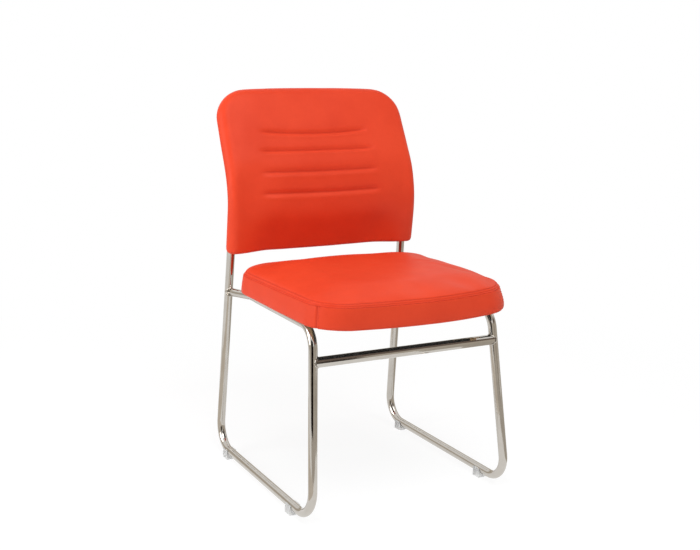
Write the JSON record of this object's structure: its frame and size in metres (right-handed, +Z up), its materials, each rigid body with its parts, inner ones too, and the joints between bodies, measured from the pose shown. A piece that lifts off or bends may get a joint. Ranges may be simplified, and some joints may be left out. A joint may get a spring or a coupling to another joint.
{
  "type": "visitor chair",
  "caption": "Armless visitor chair with a bent round-tube sled frame, a boxed upholstered seat and a curved padded back with pressed channels.",
  "frame": {"origin": "centre of the chair's bounding box at floor level, where the glides stand", "axes": "+Z up, -Y to the chair's front, +X to the sitter's left"},
  "size_m": [0.4978, 0.6092, 0.858],
  "materials": {
    "chrome": "bright chrome plating",
    "steel": "zinc plated",
    "leather": "orange-red coated leather, soft sheen",
    "plywood": "raw",
    "black_cloth": "thin non-woven",
    "clear_plastic": "translucent",
    "black_plastic": "moulded"
  },
  "bodies": {
    "root": {"side_frame_left": "chrome", "side_frame_right": "chrome", "front_crossbar": "chrome", "rear_crossbar": "chrome", "seat_cushion": "leather", "seat_board": "plywood", "seat_dust_cover": "black_cloth", "back_board": "plywood", "back_cushion": "leather", "back_rear_panel": "leather", "seat_tab_front_left": "chrome", "seat_screw_front_left": "steel", "seat_nut_front_left": "steel", "glide_front_left": "clear_plastic", "seat_tab_front_right": "chrome", "seat_screw_front_right": "steel", "seat_nut_front_right": "steel", "glide_front_right": "clear_plastic", "seat_tab_rear_left": "chrome", "seat_screw_rear_left": "steel", "seat_nut_rear_left": "steel", "glide_rear_left": "clear_plastic", "seat_tab_rear_right": "chrome", "seat_screw_rear_right": "steel", "seat_nut_rear_right": "steel", "glide_rear_right": "clear_plastic", "back_screw_low_left": "steel", "back_nut_low_left": "steel", "back_screw_low_right": "steel", "back_nut_low_right": "steel", "back_screw_high_left": "steel", "back_nut_high_left": "steel", "back_screw_high_right": "steel", "back_nut_high_right": "steel", "upright_plug_left": "black_plastic", "upright_plug_right": "black_plastic"}
  },
  "joints": []
}
